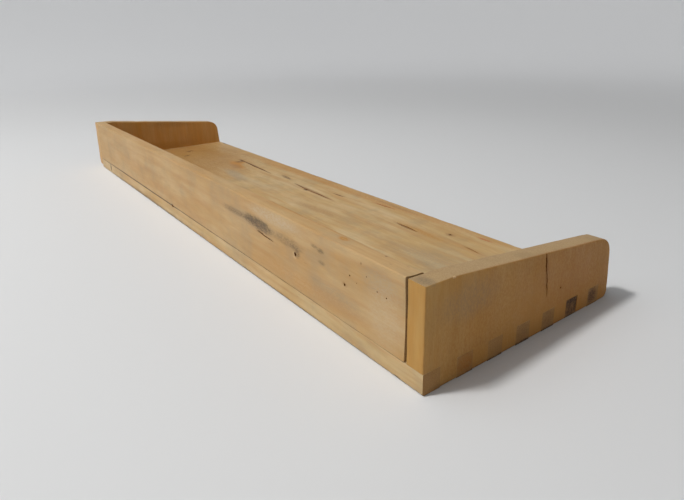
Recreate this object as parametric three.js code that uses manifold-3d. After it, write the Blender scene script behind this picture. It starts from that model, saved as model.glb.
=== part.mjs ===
// Finger-jointed wooden shelf: a base board, a back board standing on its wall-side edge,
// two end cheeks with sloping tops, and the screws that hold the back board from below.
//
// Millimetres. +X runs along the shelf, +Y points to the wall and +Z is up.
// The origin is on the underside, at the middle of the length and of the depth.

import * as THREE from 'three';
import { mergeVertices } from 'three/addons/utils/BufferGeometryUtils.js';
import Module from 'manifold-3d';

// Overall size. The cheeks' tops run almost level from the wall for LEVEL_LENGTH, then slope
// down to the front, and their front edges lean back by FRONT_SETBACK on the way up.
const LENGTH = 760;
const DEPTH = 210;
const WALL_HEIGHT = 73;
const LEVEL_LENGTH = 24;
const LEVEL_DROP = 0.5;
const FRONT_HEIGHT = 52.5;
const FRONT_SETBACK = 5;

// Boards.
const BASE_THICKNESS = 15;
const CHEEK_THICKNESS = 15;
const BACK_THICKNESS = 14.5;

// Joints. FIT_GAP is the clearance between pieces that touch.
// OPEN_END_GAP is the slot left between the back board and the left cheek.
const FINGER_COUNT = 14;
const FIT_GAP = 0.3;
const OPEN_END_GAP = 1.8;

// Rounded corners of the cheeks, and the number of straight pieces in each round.
const TOP_CORNER_RADIUS = 16;
const TOP_KNEE_RADIUS = 60;
const FRONT_FOOT_RADIUS = 6;
const BACK_FOOT_RADIUS = 8;
const CORNER_SEGMENTS = 12;

// Countersunk slotted wood screws, driven up through the base into the back board.
const SCREW_COUNT = 5;
const SCREW_PITCH = 150;
const SCREW_LENGTH = 40;
const SCREW_RADIUS = 2;
const SCREW_POINT_LENGTH = 6;
const SCREW_HEAD_RADIUS = 4;
const SCREW_HEAD_HEIGHT = 2.2;
const SCREW_HEAD_RIM = 0.4;
const SCREW_RECESS = 0.6;
const SCREW_SLOT_WIDTH = 1;
const SCREW_SLOT_DEPTH = 0.9;
const SCREW_SEGMENTS = 32;

// Derived sizes and places.
const FINGER_WIDTH = DEPTH / FINGER_COUNT;
const WALL_Y = DEPTH / 2;
const FRONT_Y = -DEPTH / 2;
const LEFT_X = -LENGTH / 2;
const RIGHT_X = LENGTH / 2;
const BACK_MIDDLE_Y = WALL_Y - BACK_THICKNESS / 2;

// Cutting blocks run past the faces that they cut through by this much.
const CUT_MARGIN = 1;

const wasm = await Module();
wasm.setup();

function toSolid(geometry) {
  const bare = geometry.clone();
  bare.deleteAttribute('normal');
  bare.deleteAttribute('uv');
  const merged = mergeVertices(bare);
  const vertProperties = new Float32Array(merged.attributes.position.array);
  const triVerts = new Uint32Array(merged.index.array);
  return new wasm.Manifold(new wasm.Mesh({ numProp: 3, vertProperties, triVerts }));
}

function toGeometry(solid) {
  const mesh = solid.getMesh();
  const indexed = new THREE.BufferGeometry();
  indexed.setAttribute('position', new THREE.BufferAttribute(mesh.vertProperties, 3));
  indexed.setIndex(new THREE.BufferAttribute(mesh.triVerts, 1));
  const geometry = indexed.toNonIndexed();
  geometry.computeVertexNormals();
  return geometry;
}

function cut(solid, tools) {
  return tools.reduce((rest, tool) => rest.subtract(tool), solid);
}

function block(x, y, z) {
  const geometry = new THREE.BoxGeometry(x.to - x.from, y.to - y.from, z.to - z.from);
  geometry.translate((x.from + x.to) / 2, (y.from + y.to) / 2, (z.from + z.to) / 2);
  return toSolid(geometry);
}

// Fingers are counted from the wall. The base owns the first one at the left end,
// the cheek owns the first one at the right end, and they take turns from there.
function ownerOfFinger(index, end) {
  const baseComesFirst = end === 'left';
  const even = index % 2 === 0;
  return even === baseComesFirst ? 'base' : 'cheek';
}

// The blocks that make room for one owner's fingers, each wider than its finger by the fit gap.
function fingerRoom(owner, end, xRange, zRange) {
  const blocks = [];
  for (let index = 0; index < FINGER_COUNT; index += 1) {
    if (ownerOfFinger(index, end) === owner) {
      const isFirst = index === 0;
      const isLast = index === FINGER_COUNT - 1;
      const wallEdge = WALL_Y - index * FINGER_WIDTH + (isFirst ? CUT_MARGIN : FIT_GAP / 2);
      const frontEdge = WALL_Y - (index + 1) * FINGER_WIDTH - (isLast ? CUT_MARGIN : FIT_GAP / 2);
      blocks.push(block(xRange, { from: frontEdge, to: wallEdge }, zRange));
    }
  }
  return blocks;
}

// The screw's outline as (radius, height), from the face of its head up to its point.
// A clearance turns it into the outline of the hole that the screw sits in.
function screwOutline(clearance) {
  const isHole = clearance > 0;
  const face = isHole ? -CUT_MARGIN : SCREW_RECESS;
  const headRadius = SCREW_HEAD_RADIUS + clearance;
  const shankRadius = SCREW_RADIUS + clearance;
  const point = SCREW_RECESS + SCREW_LENGTH + clearance;
  return [
    new THREE.Vector2(0, face),
    new THREE.Vector2(headRadius, face),
    new THREE.Vector2(headRadius, SCREW_RECESS + SCREW_HEAD_RIM + clearance),
    new THREE.Vector2(shankRadius, SCREW_RECESS + SCREW_HEAD_HEIGHT + clearance),
    new THREE.Vector2(shankRadius, point - SCREW_POINT_LENGTH),
    new THREE.Vector2(0, point),
  ];
}

// LatheGeometry turns about Y, so a quarter turn stands the screw along Z.
function turnedAlongZ(outline) {
  const geometry = new THREE.LatheGeometry(outline, SCREW_SEGMENTS);
  geometry.rotateX(Math.PI / 2);
  return geometry;
}

const screwXs = Array.from(
  { length: SCREW_COUNT },
  (_, index) => (index - (SCREW_COUNT - 1) / 2) * SCREW_PITCH,
);

function screwHoles() {
  const hole = toSolid(turnedAlongZ(screwOutline(FIT_GAP)));
  return screwXs.map((x) => hole.translate([x, BACK_MIDDLE_Y, 0]));
}

function baseBoardGeometry() {
  const board = block(
    { from: LEFT_X, to: RIGHT_X },
    { from: FRONT_Y, to: WALL_Y },
    { from: 0, to: BASE_THICKNESS },
  );
  const zRange = { from: -CUT_MARGIN, to: BASE_THICKNESS + CUT_MARGIN };
  const reach = CHEEK_THICKNESS + FIT_GAP;
  const leftRoom = fingerRoom('cheek', 'left', { from: LEFT_X - CUT_MARGIN, to: LEFT_X + reach }, zRange);
  const rightRoom = fingerRoom('cheek', 'right', { from: RIGHT_X - reach, to: RIGHT_X + CUT_MARGIN }, zRange);
  return toGeometry(cut(board, [...leftRoom, ...rightRoom, ...screwHoles()]));
}

function backBoardGeometry() {
  const board = block(
    { from: LEFT_X + CHEEK_THICKNESS + OPEN_END_GAP, to: RIGHT_X - CHEEK_THICKNESS - FIT_GAP },
    { from: WALL_Y - BACK_THICKNESS, to: WALL_Y },
    { from: BASE_THICKNESS + FIT_GAP, to: WALL_HEIGHT },
  );
  return toGeometry(cut(board, screwHoles()));
}

// A closed outline through the corners, in counter-clockwise order, with each corner
// rounded to its own radius. A radius of 0 keeps the corner sharp.
function roundedOutline(corners) {
  const shape = new THREE.Shape();
  corners.forEach(({ at, radius }, index) => {
    const before = corners[(index + corners.length - 1) % corners.length].at;
    const after = corners[(index + 1) % corners.length].at;
    const arriving = at.clone().sub(before).normalize();
    const leaving = after.clone().sub(at).normalize();
    const turn = Math.acos(arriving.dot(leaving));
    const setback = radius * Math.tan(turn / 2);
    const start = at.clone().addScaledVector(arriving, -setback);
    if (index === 0) {
      shape.moveTo(start.x, start.y);
    } else {
      shape.lineTo(start.x, start.y);
    }
    if (radius > 0) {
      const inward = new THREE.Vector2(-arriving.y, arriving.x);
      const centre = start.clone().addScaledVector(inward, radius);
      const startAngle = Math.atan2(start.y - centre.y, start.x - centre.x);
      shape.absarc(centre.x, centre.y, radius, startAngle, startAngle + turn, false);
    }
  });
  shape.closePath();
  return shape;
}

// The cheek's outline seen along X, as (y, z), with one foot at the front and one at the wall.
function cheekOutline(frontFootRadius, backFootRadius) {
  return roundedOutline([
    { at: new THREE.Vector2(FRONT_Y, 0), radius: frontFootRadius },
    { at: new THREE.Vector2(WALL_Y, 0), radius: backFootRadius },
    { at: new THREE.Vector2(WALL_Y, WALL_HEIGHT), radius: 0 },
    { at: new THREE.Vector2(WALL_Y - LEVEL_LENGTH, WALL_HEIGHT - LEVEL_DROP), radius: TOP_KNEE_RADIUS },
    { at: new THREE.Vector2(FRONT_Y + FRONT_SETBACK, FRONT_HEIGHT), radius: TOP_CORNER_RADIUS },
  ]);
}

// ExtrudeGeometry draws in XY and extrudes along Z; this turns that into YZ and X.
const alongX = new THREE.Matrix4().makeBasis(
  new THREE.Vector3(0, 1, 0),
  new THREE.Vector3(0, 0, 1),
  new THREE.Vector3(1, 0, 0),
);

// Only a foot that is the cheek's own finger is rounded; a foot that is the base's finger is cut away.
function cheekGeometry(end) {
  const ownsFrontFoot = ownerOfFinger(FINGER_COUNT - 1, end) === 'cheek';
  const ownsBackFoot = ownerOfFinger(0, end) === 'cheek';
  const outline = cheekOutline(
    ownsFrontFoot ? FRONT_FOOT_RADIUS : 0,
    ownsBackFoot ? BACK_FOOT_RADIUS : 0,
  );
  const board = new THREE.ExtrudeGeometry(outline, {
    depth: CHEEK_THICKNESS,
    bevelEnabled: false,
    curveSegments: CORNER_SEGMENTS,
  });
  board.applyMatrix4(alongX);
  const startX = end === 'left' ? LEFT_X : RIGHT_X - CHEEK_THICKNESS;
  board.translate(startX, 0, 0);
  const xRange = { from: startX - CUT_MARGIN, to: startX + CHEEK_THICKNESS + CUT_MARGIN };
  const zRange = { from: -CUT_MARGIN, to: BASE_THICKNESS + FIT_GAP };
  return toGeometry(cut(toSolid(board), fingerRoom('base', end, xRange, zRange)));
}

// One screw on the Z axis, with its slot along X.
function screwGeometry() {
  const body = toSolid(turnedAlongZ(screwOutline(0)));
  const reach = SCREW_HEAD_RADIUS + CUT_MARGIN;
  const slot = block(
    { from: -reach, to: reach },
    { from: -SCREW_SLOT_WIDTH / 2, to: SCREW_SLOT_WIDTH / 2 },
    { from: SCREW_RECESS - CUT_MARGIN, to: SCREW_RECESS + SCREW_SLOT_DEPTH },
  );
  return toGeometry(body.subtract(slot));
}

const baseWood = new THREE.MeshStandardMaterial({ color: '#b4915f', roughness: 0.55, metalness: 0 });
const backWood = new THREE.MeshStandardMaterial({ color: '#b99b6e', roughness: 0.55, metalness: 0 });
const cheekWood = new THREE.MeshStandardMaterial({ color: '#a67e48', roughness: 0.55, metalness: 0 });
const screwSteel = new THREE.MeshStandardMaterial({ color: '#8c8880', roughness: 0.45, metalness: 1 });

const shelf = new THREE.Group();

function addMesh(name, geometry, material) {
  const mesh = new THREE.Mesh(geometry, material);
  mesh.name = name;
  shelf.add(mesh);
  return mesh;
}

addMesh('base_board', baseBoardGeometry(), baseWood);
addMesh('back_board', backBoardGeometry(), backWood);
addMesh('left_cheek', cheekGeometry('left'), cheekWood);
addMesh('right_cheek', cheekGeometry('right'), cheekWood);

const screw = screwGeometry();
screwXs.forEach((x, index) => {
  const mesh = addMesh(`back_screw_${index + 1}`, screw, screwSteel);
  mesh.position.set(x, BACK_MIDDLE_Y, 0);
});

export default shelf;
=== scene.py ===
import math

import bmesh
import bpy
from mathutils import Matrix, Vector, noise


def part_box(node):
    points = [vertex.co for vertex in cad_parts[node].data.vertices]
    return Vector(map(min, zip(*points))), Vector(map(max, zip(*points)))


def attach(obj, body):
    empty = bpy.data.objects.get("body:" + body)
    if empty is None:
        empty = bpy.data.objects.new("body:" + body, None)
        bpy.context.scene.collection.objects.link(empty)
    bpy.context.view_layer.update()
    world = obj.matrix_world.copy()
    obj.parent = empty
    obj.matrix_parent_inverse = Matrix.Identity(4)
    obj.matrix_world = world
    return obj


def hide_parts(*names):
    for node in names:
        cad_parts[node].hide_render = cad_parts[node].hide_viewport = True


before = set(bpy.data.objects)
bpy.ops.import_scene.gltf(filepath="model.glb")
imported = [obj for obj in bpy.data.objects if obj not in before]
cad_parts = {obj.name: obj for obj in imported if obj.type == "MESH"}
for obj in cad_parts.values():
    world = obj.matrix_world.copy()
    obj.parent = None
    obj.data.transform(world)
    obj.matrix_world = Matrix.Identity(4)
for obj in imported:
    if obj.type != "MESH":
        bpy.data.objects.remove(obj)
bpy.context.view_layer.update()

# A finger-jointed wooden shelf in old varnished birch. Metres, in the frame of the CAD model:
# +X along the shelf, +Y to the wall, +Z up. Lengths below that read better in millimetres
# are written as a number times MM.
MM = 0.001

scene = bpy.context.scene
collection = scene.collection


# ---------------------------------------------------------------- camera

CAMERA_PLACE = (-0.5768, 0.3069, 0.2135)
CAMERA_HEADING = math.radians(-36.27)
CAMERA_PITCH = math.radians(17.06)
CAMERA_ROLL = math.radians(-1.0)
CAMERA_LENS = 28.65
# The photograph is cropped: its frame lies below the lens axis by this share of its width.
FRAME_SHIFT = -0.08


def camera_axes(heading, pitch, roll):
    """The camera's right, up and forward directions."""
    forward = Vector((
        math.cos(heading) * math.cos(pitch),
        math.sin(heading) * math.cos(pitch),
        -math.sin(pitch),
    ))
    level_right = forward.cross(Vector((0, 0, 1))).normalized()
    level_up = level_right.cross(forward)
    right = math.cos(roll) * level_right + math.sin(roll) * level_up
    up = math.cos(roll) * level_up - math.sin(roll) * level_right
    return right, up, forward


def add_camera():
    data = bpy.data.cameras.new("camera")
    data.lens = CAMERA_LENS
    data.sensor_width = 36
    data.sensor_fit = "HORIZONTAL"
    data.clip_start = 0.01
    data.shift_y = FRAME_SHIFT
    camera = bpy.data.objects.new("camera", data)
    right, up, forward = camera_axes(CAMERA_HEADING, CAMERA_PITCH, CAMERA_ROLL)
    camera.matrix_world = Matrix((
        (right.x, up.x, -forward.x, CAMERA_PLACE[0]),
        (right.y, up.y, -forward.y, CAMERA_PLACE[1]),
        (right.z, up.z, -forward.z, CAMERA_PLACE[2]),
        (0, 0, 0, 1),
    ))
    collection.objects.link(camera)
    scene.camera = camera


add_camera()


# ---------------------------------------------------------------- places taken from the frame

BASE_LOW, BASE_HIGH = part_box("base_board")
BACK_LOW, BACK_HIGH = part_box("back_board")
LEFT_LOW, LEFT_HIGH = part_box("left_cheek")
RIGHT_LOW, RIGHT_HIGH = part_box("right_cheek")
SCREW_NODES = sorted(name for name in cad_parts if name.startswith("back_screw_"))

DEPTH = BASE_HIGH.y - BASE_LOW.y
WALL_Y = BASE_HIGH.y
FRONT_Y = BASE_LOW.y
BASE_TOP = BASE_HIGH.z
WALL_HEIGHT = LEFT_HIGH.z

# The cheek's outline, as in the CAD model.
LEVEL_LENGTH = 24 * MM
LEVEL_DROP = 0.5 * MM
FRONT_HEIGHT = 52.5 * MM
FRONT_SETBACK = 5 * MM
TOP_CORNER_RADIUS = 16 * MM
TOP_KNEE_RADIUS = 60 * MM
FRONT_FOOT_RADIUS = 6 * MM
BACK_FOOT_RADIUS = 8 * MM

FINGER_COUNT = 14
FINGER_WIDTH = DEPTH / FINGER_COUNT
SEAM = 0.06 * MM
# The base's finger that ends short of the left cheek's outer face, counted from the wall side.
SHORT_FINGER = 10
SHORT_FINGER_DEPTH = 0.4 * MM

# The boards' faces in millimetres, for the marks and cuts that lie on them.
WALL = round(WALL_Y / MM, 1)
FRONT = round(FRONT_Y / MM, 1)
TOP = round(BASE_TOP / MM, 1)
RIM = round(WALL_HEIGHT / MM, 1)
LEFT_END = round(LEFT_LOW.x / MM, 1)
RIGHT_INNER = round(RIGHT_LOW.x / MM, 1)

# How widely the arrises are rounded.
ARRIS = 0.8 * MM
BASE_WALL_TOP_ARRIS = 0.45 * MM
BASE_WALL_FOOT_ARRIS = 1.8 * MM
BASE_FRONT_TOP_ARRIS = 1.3 * MM
BACK_WALL_TOP_ARRIS = 1.0 * MM
BACK_INNER_TOP_ARRIS = 2.6 * MM
BACK_FOOT_ARRIS = 0.4 * MM
BACK_END_ARRIS = 0.5 * MM
CHEEK_END_ARRIS = 0.6 * MM
SMOOTH_ANGLE = math.radians(32)

# Screw holes, a little wider and deeper than the screws.
HOLE_HEAD_RADIUS = 4.15 * MM
HOLE_HEAD_DEPTH = 0.9 * MM
HOLE_RADIUS = 2.15 * MM
HOLE_CONE_TOP = 2.9 * MM
HOLE_STRAIGHT_TOP = 35 * MM
HOLE_TOP = 41.5 * MM

# How far a cutting tool stands out past the wood.
TOOL_REACH = 2 * MM

FLOOR_FLAT_RADIUS = 2.0
FLOOR_SWEEP_RADIUS = 1.8
FLOOR_SWEEP_ANGLE = math.radians(60)
FLOOR_SWEEP_STEPS = 12
FLOOR_RIM_WIDTH = 1.2
FLOOR_DROP = 0.02 * MM


# ---------------------------------------------------------------- mesh helpers

def object_from(name, bm):
    mesh = bpy.data.meshes.new(name)
    bm.to_mesh(mesh)
    bm.free()
    piece = bpy.data.objects.new(name, mesh)
    collection.objects.link(piece)
    return piece


def apply_modifiers(piece):
    """Turns the modified shape into the piece's own mesh."""
    graph = bpy.context.evaluated_depsgraph_get()
    shaped = bpy.data.meshes.new_from_object(piece.evaluated_get(graph))
    old = piece.data
    piece.modifiers.clear()
    piece.data = shaped
    bpy.data.meshes.remove(old)


def fractal(point, scale, octaves=3):
    """Smooth noise of about -1 to 1, with features of the given size."""
    return noise.fractal(point / scale, 1.0, 2.0, octaves)


def rounded_outline(corners, steps=10):
    """Points round a convex outline of (point, radius) corners in counter-clockwise order."""
    points = []
    for index, (corner, radius) in enumerate(corners):
        before = corners[index - 1][0]
        after = corners[(index + 1) % len(corners)][0]
        arriving = (corner - before).normalized()
        leaving = (after - corner).normalized()
        if radius == 0:
            points.append(corner)
            continue
        turn = math.acos(arriving.dot(leaving))
        start = corner - arriving * radius * math.tan(turn / 2)
        centre = start + Vector((-arriving.y, arriving.x)) * radius
        first = math.atan2(start.y - centre.y, start.x - centre.x)
        for step in range(steps + 1):
            angle = first + turn * step / steps
            points.append(centre + radius * Vector((math.cos(angle), math.sin(angle))))
    return points


def prism(points, place):
    """A closed prism. place turns an outline point and 0 or 1, for the two ends, into a position."""
    bm = bmesh.new()
    ends = [[bm.verts.new(place(point, end)) for point in points] for end in (0, 1)]
    bm.faces.new(ends[0])
    bm.faces.new(ends[1])
    for index in range(len(points)):
        following = (index + 1) % len(points)
        bm.faces.new((ends[0][index], ends[0][following], ends[1][following], ends[1][index]))
    bmesh.ops.recalc_face_normals(bm, faces=bm.faces)
    return bm


def box_bmesh(low, high):
    corners = [Vector(p) for p in ((low.x, low.y), (high.x, low.y), (high.x, high.y), (low.x, high.y))]
    return prism(corners, lambda point, end: (point.x, point.y, (low.z, high.z)[end]))


def turned_bmesh(profile, centre, segments=24):
    """A closed solid turned about a line along Z through centre, from (radius, height) pairs.
    The first and the last radius are 0."""
    bm = bmesh.new()
    foot = bm.verts.new((centre.x, centre.y, centre.z + profile[0][1]))
    tip = bm.verts.new((centre.x, centre.y, centre.z + profile[-1][1]))
    rings = []
    for radius, height in profile[1:-1]:
        ring = []
        for index in range(segments):
            angle = 2 * math.pi * index / segments
            ring.append(bm.verts.new((
                centre.x + radius * math.cos(angle),
                centre.y + radius * math.sin(angle),
                centre.z + height,
            )))
        rings.append(ring)
    for index in range(segments):
        following = (index + 1) % segments
        bm.faces.new((foot, rings[0][following], rings[0][index]))
        bm.faces.new((tip, rings[-1][index], rings[-1][following]))
        for lower, upper in zip(rings, rings[1:]):
            bm.faces.new((lower[index], lower[following], upper[following], upper[index]))
    bmesh.ops.recalc_face_normals(bm, faces=bm.faces)
    return bm


# ---------------------------------------------------------------- carving tools

def join_into(target, source):
    """Adds the source bmesh to the target one and frees it."""
    mesh = bpy.data.meshes.new("part")
    source.to_mesh(mesh)
    source.free()
    target.from_mesh(mesh)
    bpy.data.meshes.remove(mesh)


def crack_bmesh(start, end, out, width, depth, bend=0.0, seed=0):
    """A V-shaped split that opens along out, with both ends tapering to nothing."""
    stations = 13
    lift = 0.4 * MM
    run = end - start
    along = run.normalized()
    side = along.cross(out).normalized()
    bm = bmesh.new()
    rings = []
    for index in range(stations):
        t = index / (stations - 1)
        swell = max(math.sin(math.pi * t), 0.02) ** 0.7
        wander = fractal(Vector((seed, t * 3, 0)), 1.0) * width * 0.8
        middle = start + run * t + side * (wander * math.sin(math.pi * t) + bend * math.sin(math.pi * t))
        ragged = 1 + 0.35 * fractal(Vector((t * 9, seed, 5)), 1.0)
        half = width * swell * ragged / 2
        low = depth * swell
        mouth = half * (1 + lift / low)
        rings.append([
            bm.verts.new(middle + side * mouth + out * lift),
            bm.verts.new(middle - side * mouth + out * lift),
            bm.verts.new(middle - out * low),
        ])
    bm.faces.new(rings[0])
    bm.faces.new(rings[-1])
    for one, two in zip(rings, rings[1:]):
        for index in range(3):
            following = (index + 1) % 3
            bm.faces.new((one[index], one[following], two[following], two[index]))
    bmesh.ops.recalc_face_normals(bm, faces=bm.faces)
    return bm


def bore_bmesh(mouth, out, radius, depth, lean=(0, 0, 0), segments=12):
    """A small round hole from mouth into the wood, against out, slightly uneven like a beetle's."""
    inward = (-out + Vector(lean)).normalized()
    side = inward.orthogonal().normalized()
    other = inward.cross(side)
    lift = 0.5 * MM
    bm = bmesh.new()
    rings = []
    for distance, share in ((-lift, 1.08), (0.25 * MM, 1.0), (depth * 0.7, 0.9), (depth, 0.45)):
        ring = []
        for index in range(segments):
            angle = 2 * math.pi * index / segments
            uneven = share * (1 + 0.12 * math.sin(3 * angle + mouth.x * 900))
            offset = (side * math.cos(angle) + other * math.sin(angle)) * radius * uneven
            ring.append(bm.verts.new(mouth + inward * distance + offset))
        rings.append(ring)
    bm.faces.new(rings[0])
    bm.faces.new(rings[-1])
    for one, two in zip(rings, rings[1:]):
        for index in range(segments):
            following = (index + 1) % segments
            bm.faces.new((one[index], one[following], two[following], two[index]))
    bmesh.ops.recalc_face_normals(bm, faces=bm.faces)
    return bm


def chip_bmesh(centre, size, seed):
    """A rough lump that takes a chip out of an arris."""
    bm = bmesh.new()
    bmesh.ops.create_icosphere(bm, subdivisions=2, radius=1.0)
    for vertex in bm.verts:
        rough = 1 + 0.25 * fractal(vertex.co + Vector((seed, seed, 0)), 0.8)
        vertex.co = centre + Vector(a * b for a, b in zip(vertex.co * rough, size))
    return bm


def carve(piece, tools, inside):
    """Cuts the tools, each a closed bmesh, out of the piece. The cut faces take the material inside."""
    together = bmesh.new()
    for tool in tools:
        join_into(together, tool)
    cutter = object_from(piece.name + "_cutter", together)
    cutter.data.materials.append(inside)
    modifier = piece.modifiers.new("carve", "BOOLEAN")
    modifier.operation = "DIFFERENCE"
    modifier.solver = "EXACT"
    modifier.use_self = True
    modifier.material_mode = "TRANSFER"
    modifier.object = cutter
    apply_modifiers(piece)
    bpy.data.objects.remove(cutter)


# ---------------------------------------------------------------- materials

def srgb(red, green, blue):
    """A colour given as 0 to 255 display values, as linear light."""
    def channel(value):
        share = value / 255
        return share / 12.92 if share <= 0.04045 else ((share + 0.055) / 1.055) ** 2.4
    return (channel(red), channel(green), channel(blue), 1.0)


class Nodes:
    """A material's node tree, with one short call for each kind of node."""

    def __init__(self, name):
        self.material = bpy.data.materials.new(name)
        self.material.use_nodes = True
        self.tree = self.material.node_tree
        self.tree.nodes.clear()
        self.shader = self.tree.nodes.new("ShaderNodeBsdfPrincipled")
        output = self.tree.nodes.new("ShaderNodeOutputMaterial")
        self.tree.links.new(self.shader.outputs["BSDF"], output.inputs["Surface"])
        self.coordinates = self.tree.nodes.new("ShaderNodeTexCoord")
        self.place = self.vector("SCALE", self.coordinates.outputs["Object"], scale=1 / MM)
        self.facing = self.coordinates.outputs["Normal"]

    def feed(self, socket, value):
        if isinstance(value, bpy.types.NodeSocket):
            self.tree.links.new(value, socket)
        elif value is not None:
            socket.default_value = value

    def math(self, operation, a, b=None, c=None):
        node = self.tree.nodes.new("ShaderNodeMath")
        node.operation = operation
        for socket, value in zip(node.inputs, (a, b, c)):
            self.feed(socket, value)
        return node.outputs[0]

    def vector(self, operation, a, b=None, scale=None):
        node = self.tree.nodes.new("ShaderNodeVectorMath")
        node.operation = operation
        self.feed(node.inputs[0], a)
        if operation == "SCALE":
            self.feed(node.inputs["Scale"], scale)
        else:
            self.feed(node.inputs[1], b)
        return node.outputs["Value" if operation in ("LENGTH", "DOT_PRODUCT") else "Vector"]

    def noise(self, vector, detail=2.0, roughness=0.5, output="Fac"):
        node = self.tree.nodes.new("ShaderNodeTexNoise")
        self.feed(node.inputs["Vector"], vector)
        node.inputs["Scale"].default_value = 1.0
        node.inputs["Detail"].default_value = detail
        node.inputs["Roughness"].default_value = roughness
        return node.outputs[output]

    def range(self, value, low, high, to_low=0.0, to_high=1.0, smooth=True):
        node = self.tree.nodes.new("ShaderNodeMapRange")
        node.interpolation_type = "SMOOTHSTEP" if smooth else "LINEAR"
        self.feed(node.inputs["Value"], value)
        self.feed(node.inputs["From Min"], low)
        self.feed(node.inputs["From Max"], high)
        self.feed(node.inputs["To Min"], to_low)
        self.feed(node.inputs["To Max"], to_high)
        return node.outputs["Result"]

    def mix(self, factor, a, b, blend="MIX"):
        node = self.tree.nodes.new("ShaderNodeMix")
        node.data_type = "RGBA"
        node.blend_type = blend
        self.feed(node.inputs["Factor"], factor)
        colours = [socket for socket in node.inputs if socket.type == "RGBA"]
        self.feed(colours[0], a)
        self.feed(colours[1], b)
        return next(socket for socket in node.outputs if socket.type == "RGBA")

    def placed(self, vector, place, turn, size):
        """Coordinates in which an ellipsoid at place, turned and sized so, is the unit ball."""
        node = self.tree.nodes.new("ShaderNodeMapping")
        node.vector_type = "TEXTURE"
        self.feed(node.inputs["Vector"], vector)
        node.inputs["Location"].default_value = place
        node.inputs["Rotation"].default_value = turn
        node.inputs["Scale"].default_value = size
        return node.outputs["Vector"]

    def bump(self, height, strength, distance, normal=None):
        node = self.tree.nodes.new("ShaderNodeBump")
        node.inputs["Strength"].default_value = strength
        node.inputs["Distance"].default_value = distance
        self.feed(node.inputs["Height"], height)
        self.feed(node.inputs["Normal"], normal)
        return node.outputs["Normal"]


AXES = {"X": Vector((1, 0, 0)), "Y": Vector((0, 1, 0)), "Z": Vector((0, 0, 1))}
HALF = Vector((0.5, 0.5, 0.5))


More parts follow.
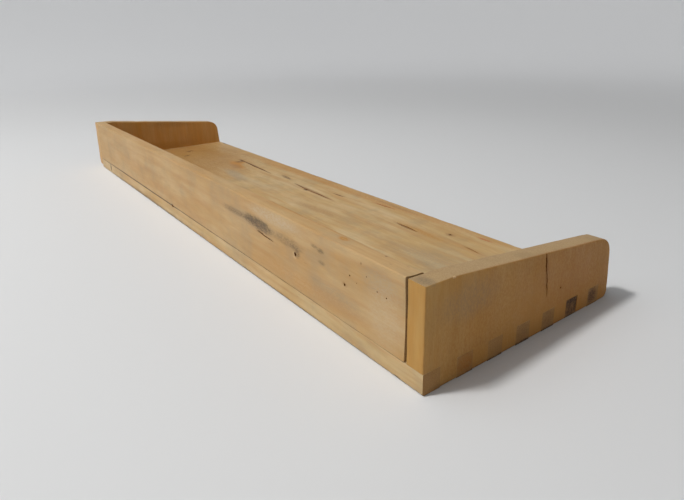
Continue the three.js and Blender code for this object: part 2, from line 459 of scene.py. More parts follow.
def wood_material(name, grain, pith, look, marks=()):
    """Varnished birch as a solid texture. grain is the axis that the fibres run along and pith a
    point, in millimetres, that the growth rings run round. look holds the colours and strengths.
    marks are (tone, place, size, turn, strength) ellipsoids of stain, in millimetres and degrees
    about Z for boards that lie flat or stand along X, and about X for the cheeks."""
    nodes = Nodes(name)
    place = nodes.place
    along = AXES[grain]
    across = Vector((1, 1, 1)) - along

    def stretched(width, length, source=place):
        scaled = nodes.vector("MULTIPLY", source, across / width + along / length)
        return nodes.vector("ADD", scaled, Vector(look["offset"]))

    def swing(width, length, detail, amount):
        drift = nodes.noise(stretched(width, length), detail=detail, output="Color")
        return nodes.vector("SCALE", nodes.vector("SUBTRACT", drift, HALF), scale=amount)

    # Growth rings, drawn into long waves.
    swayed = nodes.vector("ADD", place, swing(70, 420, 2, 36.0))
    swayed = nodes.vector("ADD", swayed, swing(9, 130, 3, 3.0))
    from_pith = nodes.vector("MULTIPLY", nodes.vector("SUBTRACT", swayed, pith), across)
    turns = nodes.math("MULTIPLY", nodes.vector("LENGTH", from_pith), 2 * math.pi / look["ring"])
    wave = nodes.math("MULTIPLY_ADD", nodes.math("SINE", turns), 0.5, 0.5)
    ring = nodes.math("POWER", wave, 3.0)

    # Broad drifts of colour, then bands, streaks and fibres.
    patch = nodes.range(nodes.noise(stretched(20, 95), detail=4, roughness=0.6), 0.34, 0.66)
    band = nodes.range(nodes.noise(stretched(7, 100, swayed), detail=4, roughness=0.62), 0.42, 0.68)
    streak = nodes.range(nodes.noise(stretched(2.0, 42, swayed), detail=4, roughness=0.65), 0.35, 0.7)
    fibre = nodes.noise(stretched(0.45, 14), detail=3, roughness=0.6)
    mottle = nodes.noise(stretched(7, 22), detail=4, roughness=0.6)
    colour = nodes.mix(patch, look["pale"], look["honey"])
    colour = nodes.mix(nodes.math("MULTIPLY", band, look["band"]), colour, look["orange"])
    colour = nodes.mix(nodes.math("MULTIPLY", ring, look["ring_strength"]), colour, look["late"])
    colour = nodes.mix(nodes.math("MULTIPLY", streak, look["streak"]), colour, look["late"])
    shade = nodes.range(fibre, 0.25, 0.75, 0.96, 1.03, smooth=False)
    colour = nodes.mix(1.0, colour, shade, "MULTIPLY")
    shade = nodes.range(mottle, 0.3, 0.7, 1.0 - look["mottle"], 1.0 + look["mottle"] / 2, smooth=False)
    colour = nodes.mix(1.0, colour, shade, "MULTIPLY")

    # Short brown pith flecks.
    fleck_noise = nodes.noise(stretched(1.3, 9), detail=1, roughness=0.4)
    fleck = nodes.range(fleck_noise, 0.72, 0.82, 0.0, look["fleck_strength"])
    colour = nodes.mix(fleck, colour, look["fleck"])

    # Handling marks and dust in the varnish, in soft clouds.
    cloud = nodes.noise(nodes.vector("SCALE", place, scale=1 / 30), detail=4, roughness=0.6)
    colour = nodes.mix(nodes.range(cloud, 0.46, 0.72, 0.0, look["grime"]), colour, look["grey"])

    # End grain is greyer, darker and rougher.
    end_facing = nodes.math("ABSOLUTE", nodes.vector("DOT_PRODUCT", nodes.facing, along))
    end_grain = nodes.range(end_facing, 0.7, 0.95)
    pores = nodes.noise(nodes.vector("SCALE", place, scale=1.1), detail=4, roughness=0.7)
    end_tone = nodes.mix(nodes.range(pores, 0.35, 0.65), look["end"], look["end_dark"])
    end_tone = nodes.mix(nodes.range(cloud, 0.5, 0.62, 0.0, look["end_grime"]), end_tone, look["grey"])
    colour = nodes.mix(nodes.math("MULTIPLY", end_grain, look["end_strength"]), colour, end_tone)

    # Stains, with ragged edges that follow the grain and specks inside.
    ragged = nodes.noise(stretched(1.5, 9), detail=3, roughness=0.65, output="Color")
    ragged = nodes.vector("SUBTRACT", ragged, HALF)
    specks = nodes.range(nodes.noise(stretched(1.1, 2.2), detail=3, roughness=0.7), 0.38, 0.62, 0.55, 1.45)
    axis = 0 if grain == "Z" else 2
    for tone, spot, size, turn, strength in marks:
        fray = nodes.vector("MULTIPLY", ragged, Vector(size) * look["fray"])
        where = nodes.vector("ADD", place, fray)
        turned = [0.0, 0.0, 0.0]
        turned[axis] = math.radians(turn)
        distance = nodes.vector("LENGTH", nodes.placed(where, spot, turned, size))
        share = nodes.math("MULTIPLY", nodes.range(distance, 0.3, 1.0, strength, 0.0), specks)
        colour = nodes.mix(share, colour, look[tone])

    # Varnish rubbed off the arrises, with dirt in the bare wood. On the base this darker arris colour also
    # stands in for painted shade where a rounded arris turns from the light.
    apart = nodes.tree.nodes.new("ShaderNodeSeparateXYZ")
    nodes.feed(apart.inputs[0], nodes.vector("ABSOLUTE", nodes.facing))
    flat = nodes.math("MAXIMUM", apart.outputs[0], nodes.math("MAXIMUM", apart.outputs[1], apart.outputs[2]))
    arris = nodes.range(flat, 0.93, 0.985, 1.0, 0.0)
    worn_and_shaded = nodes.math("MULTIPLY", arris, nodes.range(mottle, 0.4, 0.6, 0.1, look["rub"]))
    colour = nodes.mix(worn_and_shaded, colour, look["rubbed"])
    nodes.feed(nodes.shader.inputs["Base Color"], colour)

    gloss = nodes.range(cloud, 0.3, 0.7, 0.44, 0.58, smooth=False)
    gloss = nodes.math("MULTIPLY_ADD", end_grain, 0.14, gloss)
    gloss = nodes.math("MULTIPLY_ADD", worn_and_shaded, 0.15, gloss)
    nodes.feed(nodes.shader.inputs["Roughness"], gloss)
    nodes.shader.inputs["IOR"].default_value = 1.48
    nodes.shader.inputs["Specular IOR Level"].default_value = 0.32

    relief = nodes.bump(fibre, 0.25, 0.12 * MM)
    relief = nodes.bump(nodes.math("MULTIPLY", ring, -1.0), 0.1, 0.2 * MM, relief)
    relief = nodes.bump(nodes.math("MULTIPLY", fleck, -1.0), 0.5, 0.15 * MM, relief)
    relief = nodes.bump(nodes.math("MULTIPLY", pores, end_grain), 0.35, 0.25 * MM, relief)
    nodes.feed(nodes.shader.inputs["Normal"], relief)
    return nodes.material


def cavity_material():
    """The dark, dusty wood inside cracks and holes."""
    nodes = Nodes("cavity_wood")
    dust = nodes.noise(nodes.place, detail=3, roughness=0.6)
    colour = nodes.mix(nodes.range(dust, 0.3, 0.7), srgb(92, 50, 16), srgb(132, 80, 34))
    nodes.feed(nodes.shader.inputs["Base Color"], colour)
    nodes.feed(nodes.shader.inputs["Roughness"], nodes.range(dust, 0.3, 0.7, 0.8, 0.95))
    nodes.feed(nodes.shader.inputs["Normal"], nodes.bump(dust, 0.4, 0.2 * MM))
    nodes.shader.inputs["Specular IOR Level"].default_value = 0.1
    return nodes.material


def steel_material():
    """Dull zinc-plated steel with rust creeping out of the corners."""
    nodes = Nodes("screw_steel")
    blotch = nodes.noise(nodes.vector("SCALE", nodes.place, scale=0.7), detail=5, roughness=0.65)
    rust = nodes.range(blotch, 0.5, 0.66)
    scuff = nodes.noise(nodes.vector("MULTIPLY", nodes.place, (9, 9, 2)), detail=3, roughness=0.6)
    metal = nodes.mix(nodes.range(scuff, 0.3, 0.7), srgb(134, 130, 122), srgb(176, 172, 164))
    oxide = nodes.mix(nodes.range(scuff, 0.3, 0.7), srgb(78, 46, 26), srgb(122, 72, 38))
    nodes.feed(nodes.shader.inputs["Base Color"], nodes.mix(rust, metal, oxide))
    nodes.feed(nodes.shader.inputs["Metallic"], nodes.range(rust, 0.0, 1.0, 1.0, 0.1))
    rough = nodes.math("MULTIPLY_ADD", rust, 0.4, nodes.range(scuff, 0.3, 0.7, 0.34, 0.5))
    nodes.feed(nodes.shader.inputs["Roughness"], rough)
    relief = nodes.math("MULTIPLY_ADD", rust, 0.8, scuff)
    nodes.feed(nodes.shader.inputs["Normal"], nodes.bump(relief, 0.35, 0.08 * MM))
    return nodes.material


LOOK = {
    "pale": srgb(194, 162, 115),
    "honey": srgb(187, 150, 97),
    "orange": srgb(182, 132, 72),
    "late": srgb(155, 112, 64),
    "fleck": srgb(104, 66, 34),
    "brown": srgb(88, 56, 28),
    "umber": srgb(62, 38, 18),
    "rust": srgb(176, 96, 34),
    "amber": srgb(178, 124, 50),
    "tea": srgb(158, 98, 24),
    "haze": srgb(192, 172, 142),
    "birch": srgb(194, 162, 115),
    "grey": srgb(150, 138, 116),
    "slate": srgb(100, 82, 60),
    "light": srgb(216, 184, 138),
    "olive": srgb(160, 118, 62),
    "end": srgb(172, 143, 97),
    "end_dark": srgb(146, 114, 72),
    "rubbed": srgb(166, 130, 84),
    "ring": 6.5,
    "ring_strength": 0.10,
    "band": 0.35,
    "streak": 0.12,
    "mottle": 0.04,
    "fleck_strength": 0.35,
    "grime": 0.3,
    "end_grime": 0.3,
    "end_strength": 0.85,
    "fray": 0.6,
    "rub": 0.35,
    "offset": (0.0, 0.0, 0.0),
}


def varied(**changes):
    return {**LOOK, **changes}


# ---------------------------------------------------------------- marks in the wood

# Each mark is (tone, place, size, turn, strength), as wood_material says.

# Along the joint between base and back board, dirt makes a dark line.
JOINT_LINE = ("umber", (0, WALL, TOP + 0.2), (368, 3, 0.6), 0, 0.8)
FAR_JOINT_LINE = ("umber", (170, WALL, TOP + 0.3), (290, 3, 1.25), 0, 0.95)

# The arrises along the ground are darkened: along the wall side partly by dirt and partly as painted contact
# shade, along the left end as painted contact shade.
BACK_FOOT_DIRT_AND_SHADE = ("umber", (0, WALL, -0.6), (380, 4, 2.8), 0, 0.85)
LEFT_FOOT_PAINTED_SHADE = ("umber", (LEFT_END, 0, -0.4), (4, 110, 2.8), 0, 0.9)

BASE_MARKS = [
    JOINT_LINE,
    FAR_JOINT_LINE,
    ("olive", (290, -10, TOP), (220, 130, 4), 0, 0.85),
    ("amber", (178, -47, TOP), (42, 9, 3), -9, 1.0),
    ("late", (345, 10, TOP), (60, 110, 4), 0, 0.45),
    ("amber", (188, -54, TOP), (15, 17, 3), 20, 0.9),
    ("late", (170, -41, TOP), (26, 9, 3), -6, 0.7),
    ("brown", (193, -58, TOP), (9, 9, 2), 15, 0.5),
    ("brown", (63, -67, TOP), (22, 4, 2), -8, 0.6),
    ("late", (-78, -20, TOP), (60, 9, 3), 3, 0.4),
    ("amber", (-20, -97, TOP), (370, 16, 4), 0, 0.5),
    ("brown", (196, -65, TOP), (16, 3.4, 2), -4, 0.7),
    ("brown", (150, -63.8, TOP), (64, 2.8, 2), -3.4, 0.7),
    ("umber", (-6, -55.5, TOP), (6.5, 5, 2), 0, 0.9),
    ("brown", (-16, -57, TOP), (54, 2.6, 2), -3, 0.65),
    ("late", (-20, -57, TOP), (60, 5, 2), -3, 0.5),
    ("brown", (-52, -73, TOP), (15, 1.6, 2), 4, 0.7),
    ("rust", (-121, -88.8, TOP), (24, 1.8, 2), 4, 0.75),
    ("late", (-128, -97, TOP), (60, 4, 2), 0, 0.5),
    ("brown", (-188, -60.4, TOP), (24, 2.8, 2), -4, 0.8),
    ("amber", (-205, -62, TOP), (60, 6, 2), -3, 0.5),
    ("umber", (-231.8, -79, TOP), (3.2, 2.6, 2), 0, 0.9),
    ("late", (-232, -79, TOP), (9, 5, 2), 0, 0.5),
    ("olive", (-271, -65.4, TOP), (17, 2.2, 2), -9, 0.75),
    ("rust", (-262, -95, TOP), (12, 2.4, 2), 0, 0.75),
    ("brown", (321, -28, TOP), (9, 3.4, 2), -68, 0.9),
    ("brown", (290, -11, TOP), (10, 3.2, 2), -66, 0.8),
    ("late", (300, -50, TOP), (30, 12, 3), 10, 0.4),
    ("brown", (76, 17, TOP), (13, 3.2, 2), 23, 0.9),
    ("slate", (92, 22, TOP), (14, 5, 2), 10, 0.6),
    ("grey", (124, -18, TOP), (52, 13, 3), -8, 0.5),
    ("grey", (-90, 20, TOP), (120, 16, 3), 2, 0.35),
    ("grey", (-270, -20, TOP), (80, 22, 3), 0, 0.35),
    ("amber", (60, -90, TOP), (160, 5, 2), 2, 0.3),
    ("amber", (-10, 46, TOP), (210, 5, 2), 1, 0.3),
    ("brown", (342, -104, TOP), (16, 4, 3), 0, 0.9),
    ("umber", (314, WALL, 9.5), (3.4, 3, 8), 0, 1.0),
    ("umber", (-357, WALL, 0.6), (5, 2, 1.8), 0, 0.9),
    ("brown", (LEFT_END, -52.5, 7.5), (4, 13, 14), 0, 0.75),
    # Painted shade in the short finger's shallow recess: umber across its top and along its front side.
    ("umber", (LEFT_END, -52.5, 13), (4, 13, 5), 0, 0.75),
    ("umber", (LEFT_END, -59, 8), (4, 4, 9), 0, 0.6),
    ("brown", (LEFT_END, -81.4, 8), (3, 9, 11), 0, 0.75),
    ("tea", (LEFT_END, 67, 8), (3, 11, 11), 0, 0.55),
    ("brown", (LEFT_END, -22, 8), (3, 11, 11), 0, 0.25),
    ("brown", (LEFT_END, 8, 8), (3, 11, 11), 0, 0.2),
    ("amber", (LEFT_END, 82, 4), (3, 12, 5), 0, 0.4),
    ("umber", (39, WALL, TOP + 0.6), (5, 3, 3), 0, 1.0),
    # Painted shade along the front top arris, where its rounding turns away from the light.
    ("slate", (0, FRONT, 14.4), (378, 2.2, 2.4), 0, 0.75),
    ("umber", (46, FRONT, 14.6), (18, 2.6, 2.6), 0, 0.85),
    # Partly dirt and partly painted contact shade along the wall side's foot.
    ("slate", (150, WALL, 0), (230, 3, 6), 0, 0.6),
    ("slate", (-180, WALL, 0), (190, 3, 3), 0, 0.5),
    BACK_FOOT_DIRT_AND_SHADE,
    LEFT_FOOT_PAINTED_SHADE,
]

BACK_MARKS = [
    JOINT_LINE,
    FAR_JOINT_LINE,
    ("umber", (39, WALL, TOP + 0.6), (5, 3, 2.6), 0, 1.0),
    ("umber", (-176, WALL, 54.6), (28, 3, 5.5), 0, 0.5),
    ("slate", (-176, WALL, 54.5), (36, 3, 7.5), 0, 0.75),
    ("slate", (-190, WALL, 52.5), (18, 3, 6), 0, 0.5),
    ("slate", (-134, WALL, 54), (34, 3, 4.5), 0, 0.45),
    ("slate", (-224, WALL, 53), (34, 3, 6), 0, 0.34),
    ("slate", (-240, WALL, 51), (12, 3, 4), 0, 0.3),
    ("umber", (-182, WALL, 47.4), (8, 3, 1.5), 0, 0.75),
    ("umber", (-194, WALL, 46.2), (12, 3, 0.9), 0, 0.7),
    ("slate", (-241.5, WALL, 47), (6, 3, 5), 0, 0.45),
    ("light", (-237.5, WALL, 44.5), (4, 3, 4), 0, 0.4),
    ("umber", (-238.7, WALL, 45.7), (2.3, 3, 2.8), 0, 0.9),
    ("slate", (-266, WALL, 61.2), (6, 3, 2), 0, 0.4),
    ("slate", (-274, WALL, 60.2), (6, 3, 2.8), 0, 0.5),
    ("slate", (-275, WALL, 51), (7, 3, 2.4), 0, 0.4),
    ("umber", (-302.8, WALL, 44.6), (1.7, 3, 1.7), 0, 0.7),
    ("late", (-302.8, WALL, 44.6), (4, 3, 2.6), 0, 0.5),
    ("brown", (-321, WALL, 67), (1.3, 3, 1.3), 0, 0.55),
    ("grey", (-290, WALL, 30), (46, 3, 12), 0, 0.35),
    ("grey", (-340, WALL, 60), (26, 3, 14), 0, 0.3),
    ("orange", (-250, WALL, 25), (120, 3, 10), 0, 0.35),
    ("orange", (60, WALL, 28), (160, 3, 9), 0, 0.25),
    # Painted shade along the rounded inner top arris, which faces away from the light.
    ("olive", (0, 90.4, 71.5), (366, 2.3, 3), 0, 0.75),
    ("amber", (-240, 92.5, RIM), (90, 2.2, 2), 0, 0.5),
    ("amber", (-291.5, 96.5, RIM), (8, 4, 2), 0, 0.7),
    ("haze", (-205, WALL, 66), (60, 4, 8), 0, 0.5),
    ("haze", (-345, WALL, 40), (26, 4, 34), 0, 0.3),
    ("brown", (-333, 93.5, 72.6), (1.6, 1.2, 1.5), 0, 0.7),
]

LEFT_MARKS = [
    LEFT_FOOT_PAINTED_SHADE,
    ("brown", (LEFT_END, -15, 45), (3, 2.0, 22), -4, 0.6),
    ("late", (LEFT_END, -15, 46), (3, 6, 26), -4, 0.4),
    ("brown", (LEFT_END, -34.8, 29), (3, 2.4, 1.8), 0, 0.45),
    ("late", (LEFT_END, -36, 29), (3, 6, 4), 0, 0.5),
    ("tea", (LEFT_END, 0, 30), (3, 160, 80), 0, 0.42),
    # The tea and amber tints on the lower and front parts of the outer face are partly the wood's own warmer
    # tone and partly painted warm light bounced up from the floor.
    ("tea", (LEFT_END, -60, 10), (3, 90, 40), 0, 0.25),
    ("grey", (LEFT_END, 66, 52), (3, 36, 18), 0, 0.3),
    ("amber", (LEFT_END, -30, 10), (3, 120, 46), 0, 0.4),
    ("tea", (LEFT_END, -80, 30), (3, 90, 70), 0, 0.35),
    ("brown", (LEFT_END, 40, 4), (3, 120, 22), 0, 0.16),
    ("amber", (LEFT_END, 10, 8), (3, 110, 14), 0, 0.4),
    ("grey", (-374, 99, RIM), (9, 7, 3), 0, 0.75),
    ("light", (-379.8, 81, 72.2), (1.4, 1.8, 1.4), 0, 0.9),
]

RIGHT_MARKS = [
    ("amber", (RIGHT_INNER, 30, 20), (3, 110, 12), 0, 0.6),
    ("brown", (RIGHT_INNER, -20, 62), (3, 60, 14), 0, 0.2),
    ("birch", (372, 106, 40), (16, 3, 70), 0, 0.9),
    ("birch", (372, 96, RIM), (14, 16, 3), 0, 0.6),
]

BASE_WOOD = wood_material("base_wood", "X", (0, 30, -70), varied(
    offset=(3.1, 0.4, 0.2),
    pale=srgb(203, 177, 132),
    honey=srgb(192, 158, 104),
    band=0.45,
    streak=0.11,
    mottle=0.08,
    end=srgb(160, 114, 58),
    end_dark=srgb(138, 94, 44),
    end_grime=0.0,
    # The base's dark arris colour paints the shade along its front top arris as well as wear.
    rubbed=srgb(128, 104, 74),
    rub=0.7,
), BASE_MARKS)

BACK_WOOD = wood_material("back_wood", "X", (0, 190, 10), varied(
    offset=(9.7, 2.2, 5.1),
), BACK_MARKS)

CHEEK_LOOK = varied(
    offset=(1.7, 7.3, 2.9),
    pale=srgb(188, 146, 80),
    honey=srgb(183, 136, 64),
    orange=srgb(178, 118, 42),
    late=srgb(146, 94, 36),
    end=srgb(180, 156, 119),
    end_dark=srgb(162, 134, 96),
    ring=9.0,
    ring_strength=0.08,
    band=0.3,
    streak=0.10,
    grey=srgb(138, 118, 90),
    grime=0.1,
)

LEFT_WOOD = wood_material("left_cheek_wood", "Z", (-330, 20, 0), CHEEK_LOOK, LEFT_MARKS)
RIGHT_WOOD = wood_material("right_cheek_wood", "Z", (330, -10, 0), {
    **CHEEK_LOOK,
    "offset": (5.2, 3.3, 8.8),
    "pale": srgb(206, 154, 86),
    "honey": srgb(200, 142, 66),
    "orange": srgb(194, 124, 44),
}, RIGHT_MARKS)

CAVITY = cavity_material()
STEEL = steel_material()


# ---------------------------------------------------------------- boards

GRID_STEP = 6 * MM
UP = Vector((0, 0, 1))
TO_WALL = Vector((0, 1, 0))
TO_LEFT = Vector((-1, 0, 0))


def at(x, y, z):
    """A place given in millimetres."""
    return Vector((x, y, z)) * MM


def round_arrises(bm, width_of):
    """Rounds each edge by the width that width_of gives for its middle and direction."""
    groups = {}
    for edge in bm.edges:
        one, two = edge.verts
        width = width_of((one.co + two.co) / 2, (two.co - one.co).normalized())
        if width > 0:
            groups.setdefault(width, []).append(edge)
    for width in sorted(groups, reverse=True):
        alive = [edge for edge in groups[width] if edge.is_valid]
        bmesh.ops.bevel(
            bm, geom=alive, offset=width, offset_type="OFFSET", segments=4,
            profile=0.5, affect="EDGES", clamp_overlap=True,
        )


def slice_grid(bm, low, high, axes):
    """Cuts the faces along planes square to the axes, so that the board can take small dents."""
    for axis in axes:
        normal = AXES[axis]
        extent = (high - low).dot(normal)
        count = max(1, round(extent / GRID_STEP))
        for index in range(1, count):
            plane = low + normal * extent * index / count
            geometry = [*bm.verts, *bm.edges, *bm.faces]
            bmesh.ops.bisect_plane(bm, geom=geometry, dist=1e-7, plane_co=plane, plane_no=normal)


def weather(bm, seed, dent=0.35 * MM, swell=0.12 * MM):
    """Wears the arrises unevenly and lets the flat faces undulate a little."""
    bm.normal_update()
    shift = Vector((seed * 7.3, seed * 3.1, seed * 5.7))
    moves = []
    for vertex in bm.verts:
        normals = [face.normal for face in vertex.link_faces]
        spread = max(one.angle(two, 0.0) for one in normals for two in normals)
        point = vertex.co / MM + shift
        move = -swell * abs(fractal(point, 55.0, 2))
        if spread > math.radians(8):
            knock = max(0.0, fractal(point, 9.0, 3) - 0.05) + 0.5 * max(0.0, fractal(point, 26.0, 2))
            move -= dent * knock * min(1.0, vertex.co.z / (4 * MM))
        moves.append((vertex, vertex.normal * move))
    for vertex, move in moves:
        vertex.co += move


def finish_board(name, bm, node, material, joinery, cavities):
    """Makes the board's object, cuts its joints and then its cracks and holes."""
    piece = object_from(name, bm)
    piece.data.materials.append(material)
    carve(piece, joinery, material)
    if cavities:
        carve(piece, cavities, CAVITY)
    for polygon in piece.data.polygons:
        polygon.use_smooth = True
    piece.data.set_sharp_from_angle(angle=SMOOTH_ANGLE)
    weighted = piece.modifiers.new("weighted", "WEIGHTED_NORMAL")
    weighted.keep_sharp = True
    weighted.weight = 50
    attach(piece, "root")
    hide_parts(node)


def finger_rooms(owner, end, low_x, high_x, low_z, high_z):
    """Blocks where one owner, base or cheek, has its fingers at an end of the shelf."""
    rooms = []
    base_turn = 0 if end == "left" else 1
    for index in range(FINGER_COUNT):
        turn_owner = "base" if index % 2 == base_turn else "cheek"
        if turn_owner == owner:
            beyond_wall = TOOL_REACH if index == 0 else SEAM / 2
            beyond_front = TOOL_REACH if index == FINGER_COUNT - 1 else SEAM / 2
            high_y = WALL_Y - index * FINGER_WIDTH + beyond_wall
            low_y = WALL_Y - (index + 1) * FINGER_WIDTH - beyond_front
            rooms.append(box_bmesh(Vector((low_x, low_y, low_z)), Vector((high_x, high_y, high_z))))
    return rooms


def screw_hole_tools():
    """Countersunk holes round the screws, from below."""
    profile = [
        (0, -TOOL_REACH),
        (HOLE_HEAD_RADIUS, -TOOL_REACH),
        (HOLE_HEAD_RADIUS, HOLE_HEAD_DEPTH),
        (HOLE_RADIUS, HOLE_CONE_TOP),
        (HOLE_RADIUS, HOLE_STRAIGHT_TOP),
        (0, HOLE_TOP),
    ]
    tools = []
    for node in SCREW_NODES:
        low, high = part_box(node)
        tools.append(turned_bmesh(profile, Vector(((low.x + high.x) / 2, (low.y + high.y) / 2, 0))))
    return tools


def base_cracks():
    """Drying cracks, knots and chips in the base: start, end, width, depth, bend in millimetres."""
    splits = [
        (at(206, -67, TOP), at(94, -60.5, TOP), 1.5, 3, 0.6),
        (at(30, -60, TOP), at(-7, -55.6, TOP), 1.2, 2.5, 0.4),
        (at(-5, -55.2, TOP), at(-62, -55, TOP), 1.3, 3, -0.5),
        (at(-42, -72.2, TOP), at(-63, -73.6, TOP), 0.8, 1.2, 0.3),
        (at(-104, -87.8, TOP), at(-138, -89.8, TOP), 0.7, 1.0, 0.3),
        (at(-173, -61, TOP), at(-206, -59.2, TOP), 1.1, 2, -0.8),
        (at(-262, -66.8, TOP), at(-281, -64, TOP), 0.6, 0.8, -0.3),
        (at(83, 20, TOP), at(68, 13.6, TOP), 0.8, 1.0, 0.4),
        (at(323, -35, TOP), at(318.5, -22, TOP), 0.9, 1.0, 0.4),
    ]
    tools = [
        crack_bmesh(start, end, UP, width * MM, depth * MM, bend * MM, seed)
        for seed, (start, end, width, depth, bend) in enumerate(splits)
    ]
    tools.append(bore_bmesh(at(-6, -55.4, TOP), UP, 1.3 * MM, 1.6 * MM))
    tools.append(bore_bmesh(at(-231.8, -79, TOP), UP, 1.0 * MM, 1.2 * MM))
    tools.append(crack_bmesh(
        at(314.6, WALL, 14.6), at(313.6, WALL, 3), TO_WALL, 1.3 * MM, 2 * MM, 0.3 * MM, 21
    ))
    tools.append(chip_bmesh(at(39, WALL + 0.3, TOP), at(3.0, 1.2, 1.5), 3))
    tools.append(chip_bmesh(at(342, FRONT - 0.4, TOP + 0.2), at(5, 1.6, 1.3), 5))
    tools.append(chip_bmesh(at(-357, WALL + 0.3, -0.2), at(3.2, 1.0, 0.9), 7))
    return tools


def base_board():
    """The base, with its fingers, screw holes, short finger and drying cracks."""
    bm = box_bmesh(BASE_LOW, BASE_HIGH)

    def arris(middle, direction):
        at_top = middle.z > BASE_HIGH.z - MM
        at_wall = middle.y > 0
        if abs(direction.x) > 0.9:
            if at_top:
                return BASE_WALL_TOP_ARRIS if at_wall else BASE_FRONT_TOP_ARRIS
            return BASE_WALL_FOOT_ARRIS if at_wall else ARRIS
        if abs(direction.z) > 0.9:
            return ARRIS
        return 0.0 if at_top else ARRIS

    round_arrises(bm, arris)
    slice_grid(bm, BASE_LOW, BASE_HIGH, "XY")
    weather(bm, seed=1)

    thickness = LEFT_HIGH.x - LEFT_LOW.x
    past_left = BASE_LOW.x - TOOL_REACH
    past_right = BASE_HIGH.x + TOOL_REACH
    below = BASE_LOW.z - TOOL_REACH
    above = BASE_HIGH.z + TOOL_REACH
    joinery = screw_hole_tools()
    joinery += finger_rooms("cheek", "left", past_left, BASE_LOW.x + thickness + SEAM, below, above)
    joinery += finger_rooms("cheek", "right", BASE_HIGH.x - thickness - SEAM, past_right, below, above)
    short_finger_high = WALL_Y - SHORT_FINGER * FINGER_WIDTH + SEAM
    joinery.append(box_bmesh(
        Vector((past_left, short_finger_high - FINGER_WIDTH - 2 * SEAM, below)),
        Vector((BASE_LOW.x + SHORT_FINGER_DEPTH, short_finger_high, above)),
    ))
    finish_board("shelf_base_board", bm, "base_board", BASE_WOOD, joinery, base_cracks())


def worm_holes():
    """Beetle holes and a small open knot in the back board's outer face."""
    holes = [
        (at(-302.8, WALL, 44.6), 0.85),
        (at(-308.7, WALL, 53.7), 0.55),
        (at(-326.8, WALL, 59.5), 0.4),
        (at(-316.2, WALL, 50.9), 0.35),
        (at(-337.5, WALL, 53.0), 0.45),
        (at(-346.5, WALL, 52.1), 0.5),
    ]
    tools = [bore_bmesh(mouth, TO_WALL, radius * MM, 4 * MM, (0.1, 0, -0.3)) for mouth, radius in holes]
    tools.append(bore_bmesh(at(-238.7, WALL, 45.7), TO_WALL, 1.5 * MM, 5 * MM, (0, 0, -0.15)))
    tools.append(bore_bmesh(at(-243.5, WALL, 47.5), TO_WALL, 0.4 * MM, 1 * MM))
    tools.append(crack_bmesh(
        at(-176, WALL, 47.8), at(-206, WALL, 45.4), TO_WALL, 0.8 * MM, 1.2 * MM, 0.4 * MM, 31
    ))
    tools.append(chip_bmesh(at(39, WALL + 0.3, TOP + 0.8), at(2.6, 1.0, 1.0), 4))
    return tools


def back_board():
    """The back board, a little askew at its left end, with screw holes and beetle holes."""
    bm = box_bmesh(BACK_LOW, BACK_HIGH)

    def arris(middle, direction):
        at_top = middle.z > BACK_HIGH.z - MM
        at_wall = middle.y > BACK_HIGH.y - MM
        if abs(direction.x) > 0.9:
            if at_top:
                return BACK_WALL_TOP_ARRIS if at_wall else BACK_INNER_TOP_ARRIS
            return BACK_FOOT_ARRIS
        return BACK_END_ARRIS

    round_arrises(bm, arris)
    slice_grid(bm, BACK_LOW, BACK_HIGH, "XYZ")
    weather(bm, seed=2)
    close_gap(bm)
    finish_board(
        "shelf_back_board", bm, "back_board", BACK_WOOD, screw_hole_tools(), worm_holes()
    )


def close_gap(bm):
    """Cuts the left end slightly askew, so that the open slot there narrows inwards and halfway up."""
    reach = 6 * MM
    height = BACK_HIGH.z - BACK_LOW.z
    for vertex in bm.verts:
        near = 1 - (vertex.co.x - BACK_LOW.x) / reach
        if near > 0:
            inward = (BACK_HIGH.y - vertex.co.y) / (BACK_HIGH.y - BACK_LOW.y)
            halfway = math.sin(math.pi * (vertex.co.z - BACK_LOW.z) / height)
            vertex.co.x -= near * MM * (1.4 * min(1.0, 3 * inward) + 0.75 * halfway * (1 - inward))


def cheek(name, node, end, low, high, material, seed, cavities):
    """An end board. Only the board that owns a corner of the finger joint has its foot rounded."""
    owns_front_foot = end == "left"
    outline = rounded_outline([
        (Vector((FRONT_Y, 0)), FRONT_FOOT_RADIUS if owns_front_foot else 0),
        (Vector((WALL_Y, 0)), 0 if owns_front_foot else BACK_FOOT_RADIUS),
        (Vector((WALL_Y, WALL_HEIGHT)), 0),
        (Vector((WALL_Y - LEVEL_LENGTH, WALL_HEIGHT - LEVEL_DROP)), TOP_KNEE_RADIUS),
        (Vector((FRONT_Y + FRONT_SETBACK, FRONT_HEIGHT)), TOP_CORNER_RADIUS),
    ])
    bm = prism(outline, lambda point, side: ((low.x, high.x)[side], point.x, point.y))

    def arris(middle, direction):
        if abs(direction.x) > 0.9:
            is_corner = middle.y > WALL_Y - MM and (middle.z > WALL_HEIGHT - MM or middle.z < MM)
            return CHEEK_END_ARRIS if is_corner else 0.0
        return ARRIS

    round_arrises(bm, arris)
    slice_grid(bm, low, high, "YZ")
    weather(bm, seed)
    below = BASE_LOW.z - TOOL_REACH
    joinery = finger_rooms("base", end, low.x - TOOL_REACH, high.x + TOOL_REACH, below, BASE_TOP + SEAM)
    finish_board(name, bm, node, material, joinery, cavities)


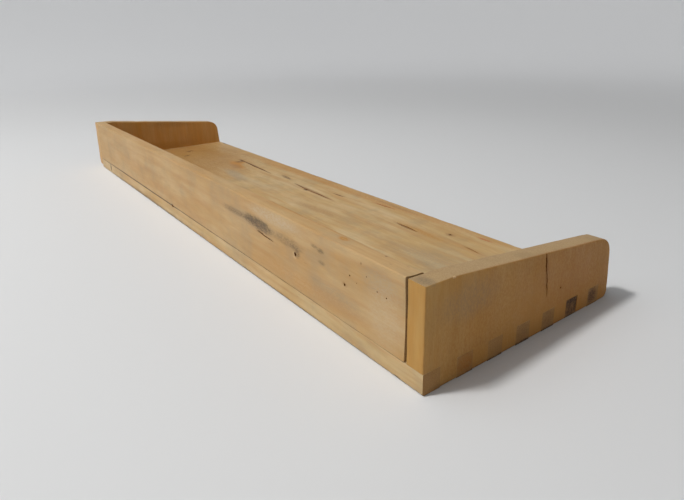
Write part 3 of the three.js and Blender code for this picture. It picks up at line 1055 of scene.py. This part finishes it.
base_board()
back_board()
cheek("shelf_left_cheek", "left_cheek", "left", LEFT_LOW, LEFT_HIGH, LEFT_WOOD, 3, [
    crack_bmesh(at(LEFT_END, -12.3, 63), at(LEFT_END, -15.2, 45), TO_LEFT, 1.5 * MM, 2.5 * MM, 0.3 * MM, 41),
    crack_bmesh(at(LEFT_END, -14.7, 49), at(LEFT_END, -18.2, 26), TO_LEFT, 1.1 * MM, 2.0 * MM, -0.3 * MM, 42),
    bore_bmesh(at(LEFT_END, -34.8, 29), TO_LEFT, 0.7 * MM, 0.9 * MM),
])
cheek("shelf_right_cheek", "right_cheek", "right", RIGHT_LOW, RIGHT_HIGH, RIGHT_WOOD, 4, [])

for node in SCREW_NODES:
    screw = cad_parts[node]
    screw.data.materials.clear()
    screw.data.materials.append(STEEL)


# ---------------------------------------------------------------- stage and light

def add_floor():
    """A round pale floor that sweeps up far from the shelf, so that no horizon shows."""
    bm = bmesh.new()
    profile = [(0.0, 0.0), (FLOOR_FLAT_RADIUS / 2, 0.0)]
    for step in range(FLOOR_SWEEP_STEPS + 1):
        slope = FLOOR_SWEEP_ANGLE * step / FLOOR_SWEEP_STEPS
        out = FLOOR_FLAT_RADIUS + FLOOR_SWEEP_RADIUS * math.sin(slope)
        profile.append((out, FLOOR_SWEEP_RADIUS * (1 - math.cos(slope))))
    last_out, last_height = profile[-1]
    rise = FLOOR_RIM_WIDTH * math.tan(FLOOR_SWEEP_ANGLE)
    profile.append((last_out + FLOOR_RIM_WIDTH, last_height + rise))
    line = [bm.verts.new((radius, 0, height - FLOOR_DROP)) for radius, height in profile]
    edges = [bm.edges.new(pair) for pair in zip(line, line[1:])]
    bmesh.ops.spin(
        bm, geom=[*line, *edges], cent=(0, 0, 0), axis=(0, 0, 1),
        angle=2 * math.pi, steps=96, use_merge=True,
    )
    bmesh.ops.remove_doubles(bm, verts=bm.verts[:], dist=1e-6)
    floor = object_from("floor", bm)
    for polygon in floor.data.polygons:
        polygon.use_smooth = True
    nodes = Nodes("pale_floor")
    nodes.shader.inputs["Base Color"].default_value = srgb(215, 216, 217)
    nodes.shader.inputs["Roughness"].default_value = 0.8
    nodes.shader.inputs["Specular IOR Level"].default_value = 0.2
    # The floor glows more the farther out it lies: painted light that brightens the far floor and the sweep
    # and adds a little fill light.
    nodes.shader.inputs["Emission Color"].default_value = (0.97, 0.98, 1.0, 1.0)
    outward = nodes.vector("LENGTH", nodes.coordinates.outputs["Object"])
    nodes.feed(nodes.shader.inputs["Emission Strength"], nodes.range(outward, 0.8, 2.6, 0.0, 0.2))
    floor.data.materials.append(nodes.material)


def add_area_light(name, place, target, size, power, colour, spread=180):
    data = bpy.data.lights.new(name, "AREA")
    data.spread = math.radians(spread)
    data.shape = "DISK"
    data.size = size
    data.energy = power
    data.color = colour
    light = bpy.data.objects.new(name, data)
    light.location = place
    light.rotation_euler = (Vector(target) - Vector(place)).to_track_quat("-Z", "Y").to_euler()
    collection.objects.link(light)


def add_world():
    world = bpy.data.worlds.new("studio")
    world.use_nodes = True
    background = world.node_tree.nodes["Background"]
    background.inputs["Color"].default_value = (0.98, 0.99, 1.0, 1.0)
    background.inputs["Strength"].default_value = 0.05
    scene.world = world


add_floor()
add_world()
add_area_light("key", (0.24, 1.31, 2.3), (0, 0, 0), 0.36, 42, (1.0, 0.99, 0.97))
add_area_light("ceiling", (0.4, 1.15, 2.6), (0.1, 0.1, 0), 3.0, 30, (1.0, 1.0, 1.0))
add_area_light("side", (0.6, 2.6, 0.9), (0, 0, 0), 1.6, 1.15, (1.0, 0.99, 0.97), spread=90)
scene.view_settings.view_transform = "Standard"

bpy.context.view_layer.update()
